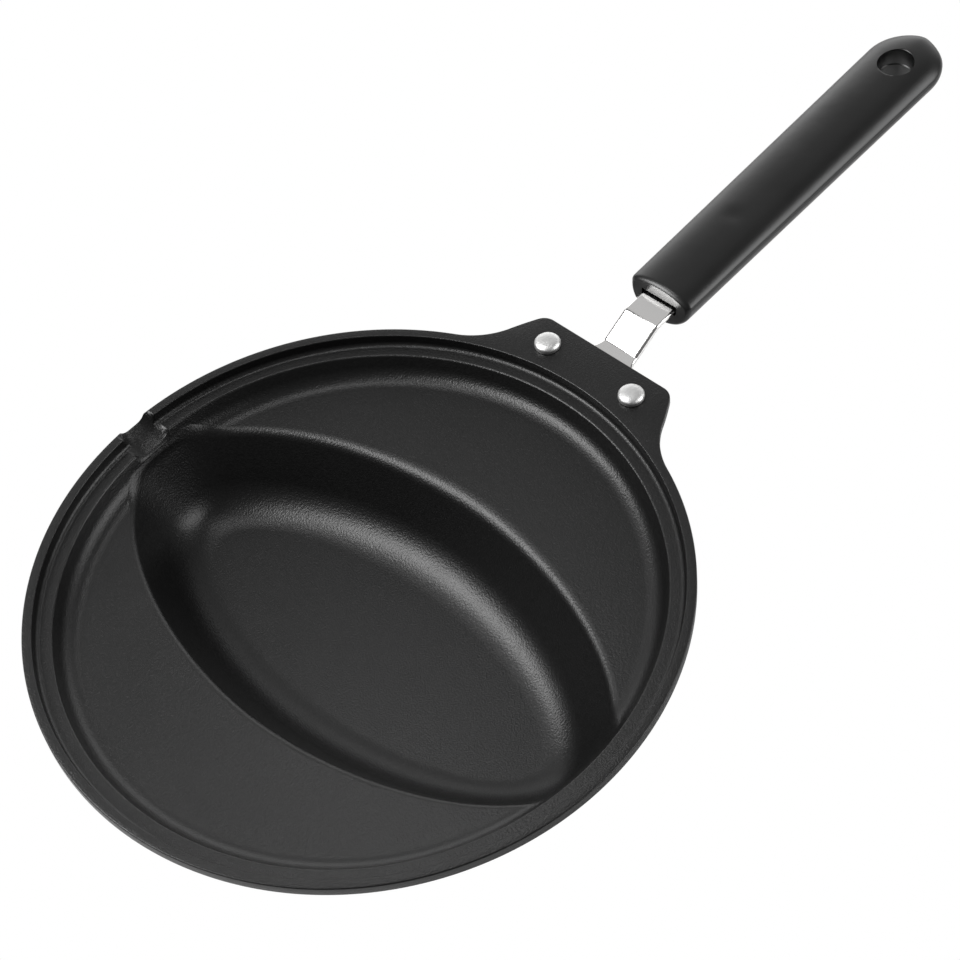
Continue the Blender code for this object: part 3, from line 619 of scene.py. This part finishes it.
def shoulder_place():
    """Where the strap narrows to its tang, just inside the grip's slot mouth."""
    return GRIP_START + SLOT_MOUTH_DEPTH - 2 * SLOT_CLEARANCE


def strap_half_width(x):
    """Half the bracket's width: round ends at the rivets, a web that curves in, the strap and its tang."""
    seat = rivet_seat()
    web = RIVET_HALF_SPACING - STRAP_HALF_WIDTH
    foot_end = seat + FOOT_END_RADIUS
    if x < foot_end:
        return RIVET_HALF_SPACING + math.sqrt(max(0, FOOT_END_RADIUS**2 - (x - seat) ** 2))
    if x < foot_end + web:
        return RIVET_HALF_SPACING - math.sqrt(max(0, web**2 - (foot_end + web - x) ** 2))
    if x < shoulder_place():
        return STRAP_HALF_WIDTH
    return TANG_HALF_WIDTH


def axis_height(x):
    """Height over the rim of the grip's axis, which is also the middle of the tang."""
    return GRIP_AXIS_RISE + (x - GRIP_START) * math.tan(GRIP_TILT)


def strap_path():
    """(x, height over the rim) along the middle of the strap, from under the pan's side into the grip."""
    seat = rivet_seat()
    foot = -FLANGE_THICKNESS - GAP - STRAP_THICKNESS / 2
    tang_end = GRIP_START + TANG_LENGTH * math.cos(GRIP_TILT)
    bends = rounded_path([
        (seat, foot, 0, 0),
        (RISER_START, foot, RISER_BEND_RADIUS, 14),
        (RISER_END, axis_height(RISER_END), RISER_BEND_RADIUS, 14),
        (tang_end, axis_height(tang_end), 0, 0),
    ])
    first = bends[1][0] - STRAP_THICKNESS / 4
    flat = [(x, foot) for x in np.linspace(seat - FOOT_END_RADIUS, seat + FOOT_END_RADIUS, 40)]
    flat += [(x, foot) for x in np.linspace(seat + FOOT_END_RADIUS, first, 30)[1:]]
    narrow = shoulder_place()
    shoulder = [(x, axis_height(x)) for x in (narrow - SLOT_CLEARANCE, narrow)]
    return np.array(flat + [tuple(point) for point in bends[1:-1]] + shoulder + [tuple(bends[-1])])


def bracket(look):
    """The steel strap with rounded edges, lofted along its bends and cut round the pan's side."""
    path = strap_path()
    ahead = np.gradient(path, axis=0)
    ahead /= np.hypot(ahead[:, 0], ahead[:, 1])[:, None]
    edge, across, up = STRAP_EDGE_RADIUS, STRAP_EDGE_WIDTH, STRAP_THICKNESS / 2
    turns = np.linspace(0, math.pi / 2, 7)
    corner = [(edge * (1 - math.sin(turn)), across * (1 - math.cos(turn))) for turn in turns]
    loops = []
    for (x, z), (dx, dz) in zip(path, ahead):
        half = strap_half_width(x)
        section = [(half - b, up - a) for a, b in reversed(corner)]
        section += [(half - b, a - up) for a, b in corner]
        section += [(b - half, a - up) for a, b in reversed(corner)]
        section += [(b - half, up - a) for a, b in corner]
        loops.append([(x - dz * n, y, RIM_HEIGHT + z + dx * n) for y, n in section])
    made = loft("strap_bracket", loops, look)
    side = PAN_RADIUS + 2 * LIP_EDGE_RADIUS + GAP
    rod = [(0, 0), (side, 0), (side, 2 * RIM_HEIGHT), (0, 2 * RIM_HEIGHT)]
    return carve(made, [turned("side_cutter", rod, None, 360)])


# Grip


def grip_place():
    """The grip's frame: X along it from its nose, Z up."""
    at = Matrix.Translation((GRIP_START, 0, RIM_HEIGHT + GRIP_AXIS_RISE))
    return at @ Matrix.Rotation(-GRIP_TILT, 4, "Y")


def grip_sections():
    """Sections along the grip: distance from the nose, half width, parting height, crown, height share."""
    sections = []
    for turn in np.linspace(GRIP_NOSE_TURN, 0, 16):
        inset = GRIP_NOSE_RADIUS * (1 - math.cos(turn))
        along = GRIP_NOSE_RADIUS * (math.sin(GRIP_NOSE_TURN) - math.sin(turn))
        width, height_share = GRIP_FRONT_HALF_WIDTH - inset, 1 - inset / GRIP_LOWER_HEIGHT
        sections.append((along, width, GRIP_FRONT_PARTING, GRIP_FRONT_CROWN, height_share))
    start, end = sections[-1][0], GRIP_LENGTH - GRIP_TAIL_LENGTH
    for share in np.linspace(0, 1, 130)[1:]:
        along = start + (end - start) * share
        width = GRIP_FRONT_HALF_WIDTH + (GRIP_REAR_HALF_WIDTH - GRIP_FRONT_HALF_WIDTH) * share
        parting = GRIP_FRONT_PARTING + (GRIP_REAR_PARTING - GRIP_FRONT_PARTING) * share
        crown = GRIP_FRONT_CROWN + (GRIP_REAR_CROWN - GRIP_FRONT_CROWN) * share
        sections.append((along, width, parting, crown, 1))
    for share in np.linspace(0, GRIP_TAIL_END_SHARE, 36)[1:]:
        along = end + GRIP_TAIL_LENGTH * math.sin(share * math.pi / 2)
        closing = math.cos(share * math.pi / 2)
        width = GRIP_REAR_HALF_WIDTH * closing**GRIP_TAIL_WIDTH_POWER
        height_share = closing**GRIP_TAIL_HEIGHT_POWER
        sections.append((along, width, GRIP_REAR_PARTING, GRIP_REAR_CROWN, height_share))
    return sections


def grip_section_loop(x, width, parting, crown, height_share):
    """One section: a shallow crown, a parting line under its edge, a deep belly, and a lean at the nose."""
    belly = GRIP_LOWER_HEIGHT + parting
    # Angles are closer together beside the parting line, where the groove is
    fine = [0, 0.003, 0.008, 0.015, 0.025, 0.04, 0.06, 0.085, 0.12]
    quarter = np.concatenate([fine, np.linspace(0.17, math.pi / 2, 24)])
    half = np.concatenate([quarter, math.pi - quarter[-2::-1]])
    loop = []
    for angle in np.concatenate([half, math.pi + half[1:-1]]):
        c, s = math.cos(angle), math.sin(angle)
        upper = angle <= math.pi
        reach, power = (crown, GRIP_CROWN_POWER) if upper else (belly, GRIP_BELLY_POWER)
        drop = reach * abs(s) ** (2 / power)
        groove = 0 if upper else PARTING_GROOVE_DEPTH * math.exp(-((drop / PARTING_GROOVE_HEIGHT) ** 2))
        y = (width - min(groove, width / 4)) * math.copysign(abs(c) ** (2 / power), c)
        z = parting + (drop if upper else -drop)
        if upper:
            z -= SINK_DEPTH * math.exp(-((x - SCREW_FROM_NOSE) ** 2 + y * y) / SINK_RADIUS**2)
        z *= height_share
        loop.append((x + z * NOSE_LEAN * max(0, 1 - x / NOSE_LEAN_LENGTH), y, z))
    return loop


def box_cutter(name, low, high):
    """A box between two corners, as a cutter."""
    sides = ((low[1], low[2]), (high[1], low[2]), (high[1], high[2]), (low[1], high[2]))
    return loft(name, [[(x, y, z) for y, z in sides] for x in (low[0], high[0])])


def hole_cutter(name, upper, lower):
    """A cutter for the hanging hole: a rounded upper edge, a ridge at half height and a drafted wall."""
    radius, edge = HANG_HOLE_RADIUS, HANG_HOLE_EDGE_RADIUS
    middle, narrow = (upper - lower) / 2, HANG_HOLE_RADIUS - HANG_HOLE_RIDGE
    profile = [(0, upper + OVERRUN), (radius + edge, upper + OVERRUN)]
    for a in np.linspace(0, math.pi / 2, 8):
        profile.append((radius + edge * (1 - math.sin(a)), upper - edge * (1 - math.cos(a))))
    profile += [(radius, middle), (narrow, middle - HANG_HOLE_RIDGE)]
    profile += [(narrow - HANG_HOLE_DRAFT, -lower), (narrow - HANG_HOLE_DRAFT, -lower - OVERRUN)]
    return turned(name, profile + [(0, -lower - OVERRUN)], None, 96)


def grip(look):
    """The moulded grip with its strap slot, screw recess and hanging hole."""
    loops = [grip_section_loop(*section) for section in grip_sections()]
    face = [(x, y * NOSE_FACE_SHARE, z * NOSE_FACE_SHARE) for x, y, z in loops[0]]
    made = loft("moulded_grip", [face, *loops], look)
    heights = GRIP_REAR_PARTING + GRIP_REAR_CROWN, GRIP_LOWER_HEIGHT
    at = Matrix.Translation((GRIP_LENGTH - HANG_HOLE_FROM_TIP, 0, 0))
    hang = put(hole_cutter("hang_cutter", *heights), at)
    tall = STRAP_THICKNESS / 2 + SLOT_CLEARANCE
    half = STRAP_HALF_WIDTH + SLOT_CLEARANCE
    roof = SLOT_MOUTH_HEIGHT - tall
    mouth = box_cutter("mouth_cutter", (-OVERRUN, -half, -tall - GAP), (SLOT_MOUTH_DEPTH, half, roof))
    half, deep = TANG_HALF_WIDTH + SLOT_CLEARANCE, TANG_LENGTH + SLOT_CLEARANCE
    slot = box_cutter("slot_cutter", (-OVERRUN, -half, -tall), (deep, half, tall))
    floor, low = SCREW_RECESS_DEPTH - GRIP_LOWER_HEIGHT, -GRIP_LOWER_HEIGHT - OVERRUN
    recess_profile = [(0, low), (SCREW_RECESS_RADIUS, low), (SCREW_RECESS_RADIUS, floor), (0, floor)]
    recess = put(turned("recess_cutter", recess_profile), Matrix.Translation((SCREW_FROM_NOSE, 0, 0)))
    return put(carve(made, [hang, slot, mouth, recess]), grip_place())


def screw(look):
    """The pan-head screw from below, through the washer and the grip's floor into the tang."""
    seat = SCREW_RECESS_DEPTH - GRIP_LOWER_HEIGHT - SCREW_WASHER_THICKNESS - 2 * GAP
    tip = STRAP_THICKNESS / 2 + SLOT_CLEARANCE + SCREW_SHANK_RADIUS - GAP
    edge = SCREW_EDGE_HEIGHT
    profile = [(0, tip), (SCREW_SHANK_RADIUS - edge / 2, tip), (SCREW_SHANK_RADIUS, tip - edge / 2)]
    profile += [(SCREW_SHANK_RADIUS, seat), (SCREW_HEAD_RADIUS, seat)]
    profile += dome(SCREW_HEAD_RADIUS, SCREW_HEAD_HEIGHT - edge, 12, -1, seat - edge)
    profile += [(0, seat - SCREW_HEAD_HEIGHT)]
    made = turned("drive_screw", profile, look)
    arm = SCREW_HEAD_RADIUS * SCREW_CROSS_LENGTH_SHARE
    blade = SCREW_HEAD_RADIUS * SCREW_CROSS_WIDTH_SHARE
    face = seat - SCREW_HEAD_HEIGHT
    low, high = face - OVERRUN, face + SCREW_HEAD_HEIGHT * SCREW_CROSS_DEPTH_SHARE
    cross = [
        box_cutter("cross_a", (-arm, -blade, low), (arm, blade, high)),
        box_cutter("cross_b", (-blade, -arm, low), (blade, arm, high)),
    ]
    return put(carve(made, cross), grip_place() @ Matrix.Translation((SCREW_FROM_NOSE, 0, 0)))


def washer(look):
    """The washer between the screw's head and the recess's floor."""
    top = SCREW_RECESS_DEPTH - GRIP_LOWER_HEIGHT - GAP
    low = top - SCREW_WASHER_THICKNESS
    bore, out = SCREW_SHANK_RADIUS + GAP, SCREW_WASHER_RADIUS
    edge = SCREW_WASHER_THICKNESS / 5
    section = [(bore, low), (out - edge, low), (out, low + edge)]
    section += [(out, top - edge), (out - edge, top), (bore, top)]
    around, count = 64, len(section)
    angles = [2 * math.pi * k / around for k in range(around)]
    points = [(r * math.cos(a), r * math.sin(a), z) for a in angles for r, z in section]
    faces = []
    for k in range(around):
        for j in range(count):
            here, after = k * count, (k + 1) % around * count
            faces.append([here + j, here + (j + 1) % count, after + (j + 1) % count, after + j])
    made = piece("plain_washer", points, faces, look)
    return put(made, grip_place() @ Matrix.Translation((SCREW_FROM_NOSE, 0, 0)))


# Materials


class Look:
    """A node material, built up from its shader's sockets."""

    def __init__(self, name, **values):
        self.made = bpy.data.materials.new(name)
        self.made.use_nodes = True
        self.tree = self.made.node_tree
        self.shader = self.tree.nodes["Principled BSDF"]
        self.where = self.tree.nodes.new("ShaderNodeTexCoord").outputs["Object"]
        for socket, value in values.items():
            self.shader.inputs[socket.replace("_", " ")].default_value = value

    def add(self, kind, **inputs):
        """A new node with its named inputs set to a value or linked to another node's socket."""
        node = self.tree.nodes.new(kind)
        for socket, value in inputs.items():
            target = node.inputs[socket.replace("_", " ")]
            if isinstance(value, bpy.types.NodeSocket):
                self.tree.links.new(value, target)
            else:
                target.default_value = value
        return node

    def noise(self, scale, detail=2.0, where=None):
        """Noise whose grains are about 1 / scale metres across."""
        node = self.add("ShaderNodeTexNoise", Vector=where or self.where, Scale=scale, Detail=detail)
        return node.outputs["Fac"]

    def spread(self, value, low, high):
        """A value of 0 to 1 spread over low to high."""
        node = self.add("ShaderNodeMapRange", Value=value, To_Min=low, To_Max=high)
        return node.outputs["Result"]

    def tint(self, value, dark, light, low=0.0, high=1.0):
        """A colour between two, as a value goes from low to high."""
        ramp = self.tree.nodes.new("ShaderNodeValToRGB")
        ramp.color_ramp.elements[0].position, ramp.color_ramp.elements[1].position = low, high
        ramp.color_ramp.elements[0].color = (*dark, 1)
        ramp.color_ramp.elements[1].color = (*light, 1)
        self.tree.links.new(value, ramp.inputs["Fac"])
        return ramp.outputs["Color"]

    def bump(self, height, distance, under=None):
        """A bump from a height, over another where one is given."""
        node = self.add("ShaderNodeBump", Height=height, Distance=distance, Strength=1.0)
        if under:
            self.tree.links.new(under, node.inputs["Normal"])
        return node.outputs["Normal"]

    def link(self, socket, value):
        """Feeds one of the shader's sockets."""
        self.tree.links.new(value, self.shader.inputs[socket])


def coat_look():
    """Matte black non-stick coating with a fine sprayed grain."""
    look = Look("non_stick_coat", IOR=1.42)
    dark, light = (0.0025, 0.0025, 0.0025), (0.005, 0.005, 0.005)
    look.link("Base Color", look.tint(look.noise(900, 3), dark, light, 0.35, 0.7))
    look.link("Roughness", look.spread(look.noise(60, 3), 0.31, 0.38))
    grain = look.bump(look.noise(2600, 1), 0.03 * MM)
    look.link("Normal", look.bump(look.noise(1500, 2), 0.12 * MM, under=grain))
    return look.made


def steel_look():
    """Polished stainless steel with a faint drawn grain along the strap."""
    look = Look("polished_steel", Metallic=1.0, Roughness=0.16)
    look.shader.inputs["Base Color"].default_value = (0.93, 0.92, 0.91, 1)
    drawn = look.add("ShaderNodeMapping", Vector=look.where, Scale=(120, 4000, 4000)).outputs["Vector"]
    lines = look.noise(1, 3, drawn)
    look.link("Roughness", look.spread(lines, 0.1, 0.2))
    look.link("Normal", look.bump(lines, 0.002 * MM))
    return look.made


def rivet_look():
    """Bright aluminium with the soft dents of the riveting tool."""
    look = Look("rivet_alloy", Metallic=1.0)
    dark, light = (0.54, 0.54, 0.54), (0.7, 0.7, 0.69)
    look.link("Base Color", look.tint(look.noise(1500, 3), dark, light))
    look.link("Roughness", look.spread(look.noise(2200, 2), 0.38, 0.5))
    look.link("Normal", look.bump(look.noise(800, 3), 0.12 * MM))
    return look.made


def grip_look():
    """Satin black moulding, slightly uneven as phenolic comes from its mould."""
    look = Look("black_moulding", Roughness=0.38)
    dark, light = (0.002, 0.002, 0.002), (0.004, 0.004, 0.004)
    look.link("Base Color", look.tint(look.noise(70, 3), dark, light, 0.3, 0.7))
    look.link("Roughness", look.spread(look.noise(45, 3), 0.27, 0.37))
    skin = look.bump(look.noise(2500, 2), 0.006 * MM)
    look.link("Normal", look.bump(look.noise(90, 2), 0.12 * MM, under=skin))
    return look.made


def zinc_look():
    """Zinc-plated steel."""
    look = Look("zinc_plate", Metallic=1.0, Roughness=0.3)
    dark, light = (0.55, 0.56, 0.58), (0.68, 0.69, 0.70)
    look.link("Base Color", look.tint(look.noise(900, 3), dark, light))
    look.link("Roughness", look.spread(look.noise(1500, 2), 0.24, 0.4))
    return look.made


def floor_look():
    """A plain pale floor that the camera sees as white."""
    made = bpy.data.materials.new("pale_floor")
    made.use_nodes = True
    nodes, links = made.node_tree.nodes, made.node_tree.links
    nodes.clear()
    out = nodes.new("ShaderNodeOutputMaterial")
    mix, path = nodes.new("ShaderNodeMixShader"), nodes.new("ShaderNodeLightPath")
    matte, glow = nodes.new("ShaderNodeBsdfDiffuse"), nodes.new("ShaderNodeEmission")
    matte.inputs["Color"].default_value = (0.82, 0.82, 0.82, 1)
    links.new(path.outputs["Is Camera Ray"], mix.inputs["Fac"])
    links.new(matte.outputs["BSDF"], mix.inputs[1])
    links.new(glow.outputs["Emission"], mix.inputs[2])
    links.new(mix.outputs["Shader"], out.inputs["Surface"])
    return made


# Studio


def floor(look):
    """The square floor that the pan stands on."""
    half = FLOOR_HALF_SIZE
    corners = [(-half, -half, 0), (half, -half, 0), (half, half, 0), (-half, half, 0)]
    mesh = bpy.data.meshes.new("floor")
    mesh.from_pydata(corners, [], [[0, 1, 2, 3]])
    mesh.materials.append(look)
    made = bpy.data.objects.new("floor", mesh)
    bpy.context.scene.collection.objects.link(made)
    return made


def world():
    """White to the camera, and to all else a backdrop beyond the pan, brightest low, in a dim room."""
    made = bpy.data.worlds.new("studio")
    bpy.context.scene.world = made
    made.use_nodes = True
    nodes, links = made.node_tree.nodes, made.node_tree.links
    nodes.clear()

    def add(kind, operation=None, **inputs):
        """The outputs of a new node, whose inputs are named or, as _0 and so on, numbered."""
        node = nodes.new(kind)
        if operation:
            node.operation = operation
        for socket, value in inputs.items():
            target = node.inputs[int(socket[1:]) if socket[1:].isdigit() else socket.replace("_", " ")]
            if isinstance(value, bpy.types.NodeSocket):
                links.new(value, target)
            else:
                target.default_value = value
        return node.outputs

    def smooth(value, between, first=0.0, last=1.0):
        """A value spread over first to last, with soft ends, as it goes between two others."""
        ends = {"From_Min": between[0], "From_Max": between[1], "To_Min": first, "To_Max": last}
        outputs = add("ShaderNodeMapRange", Value=value, **ends)
        nodes[-1].interpolation_type = "SMOOTHSTEP"
        return outputs["Result"]

    where = add("ShaderNodeTexCoord")["Generated"]
    level = add("ShaderNodeVectorMath", "MULTIPLY", _0=where, _1=(1, 1, 0))["Vector"]
    level = add("ShaderNodeVectorMath", "NORMALIZE", _0=level)["Vector"]
    middle = (math.cos(BACKDROP_AZIMUTH), math.sin(BACKDROP_AZIMUTH), 0)
    ahead = add("ShaderNodeVectorMath", "DOT_PRODUCT", _0=level, _1=middle)["Value"]
    ahead = smooth(ahead, BACKDROP_SIDES)
    height = add("ShaderNodeSeparateXYZ", Vector=where)["Z"]
    low, high = BACKDROP_LOW_LIGHT - ROOM_LIGHT, BACKDROP_HIGH_LIGHT - ROOM_LIGHT
    glow = smooth(height, BACKDROP_HEIGHTS, low, high)
    glow = add("ShaderNodeMath", "MULTIPLY", _0=glow, _1=ahead)["Value"]
    glow = add("ShaderNodeMath", "ADD", _0=glow, _1=ROOM_LIGHT)["Value"]
    room = add("ShaderNodeBackground", Color=(1, 1, 1, 1), Strength=glow)["Background"]
    white = add("ShaderNodeBackground", Color=(1, 1, 1, 1), Strength=1.0)["Background"]
    seen = add("ShaderNodeLightPath")["Is Camera Ray"]
    shader = add("ShaderNodeMixShader", _0=seen, _1=room, _2=white)["Shader"]
    add("ShaderNodeOutputWorld", Surface=shader)


def softbox(name, azimuth, elevation, distance, width, height, brightness):
    """A rectangular soft light that faces the pan. A white backdrop's brightness is 1."""
    a, e = math.radians(azimuth), math.radians(elevation)
    at = Vector((math.cos(a) * math.cos(e), math.sin(a) * math.cos(e), math.sin(e))) * distance
    data = bpy.data.lights.new(name, "AREA")
    data.shape = "RECTANGLE"
    data.size, data.size_y, data.energy = width, height, brightness * math.pi * width * height
    made = bpy.data.objects.new(name, data)
    made.location = at
    made.rotation_euler = (-at).to_track_quat("-Z", "Y").to_euler()
    bpy.context.scene.collection.objects.link(made)


def camera():
    """The photograph's camera."""
    ce, se = math.cos(CAMERA_ELEVATION), math.sin(CAMERA_ELEVATION)
    forward = Vector((math.cos(CAMERA_AZIMUTH) * ce, math.sin(CAMERA_AZIMUTH) * ce, -se))
    level = forward.cross(Vector((0, 0, 1))).normalized()
    upright = level.cross(forward)
    right = level * math.cos(CAMERA_ROLL) + upright * math.sin(CAMERA_ROLL)
    up = right.cross(forward)
    data = bpy.data.cameras.new("camera")
    data.sensor_fit = "HORIZONTAL"
    data.sensor_width = SENSOR_MM
    data.lens = FOCAL_PIXELS / IMAGE_PIXELS * SENSOR_MM
    made = bpy.data.objects.new("camera", data)
    axes = Matrix((right, up, -forward)).transposed().to_4x4()
    made.matrix_world = Matrix.Translation(CAMERA_PLACE) @ axes
    bpy.context.scene.collection.objects.link(made)
    bpy.context.scene.camera = made


def main():
    """Builds the looks of the seven pieces, and the studio and camera round them."""
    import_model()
    coat, steel, alloy = coat_look(), steel_look(), rivet_look()
    moulding, zinc = grip_look(), zinc_look()
    shown = [
        (casting(coat), "pan_body", "non_stick_coat"),
        (bracket(steel), "handle_bracket", "polished_steel"),
        (rivet("round_rivet_left", RIVET_HALF_SPACING, alloy), "rivet_left", "rivet_alloy"),
        (rivet("round_rivet_right", -RIVET_HALF_SPACING, alloy), "rivet_right", "rivet_alloy"),
        (grip(moulding), "grip", "black_moulding"),
        (screw(zinc), "grip_screw", "zinc_plate"),
        (washer(zinc), "screw_washer", "zinc_plate"),
    ]
    for made, node, slot in shown:
        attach(made, "root")
        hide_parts(node)
    floor(floor_look())
    world()
    for name, values in SOFTBOXES.items():
        softbox(name, *values)
    camera()
    bpy.context.scene.view_settings.view_transform = "Standard"


main()
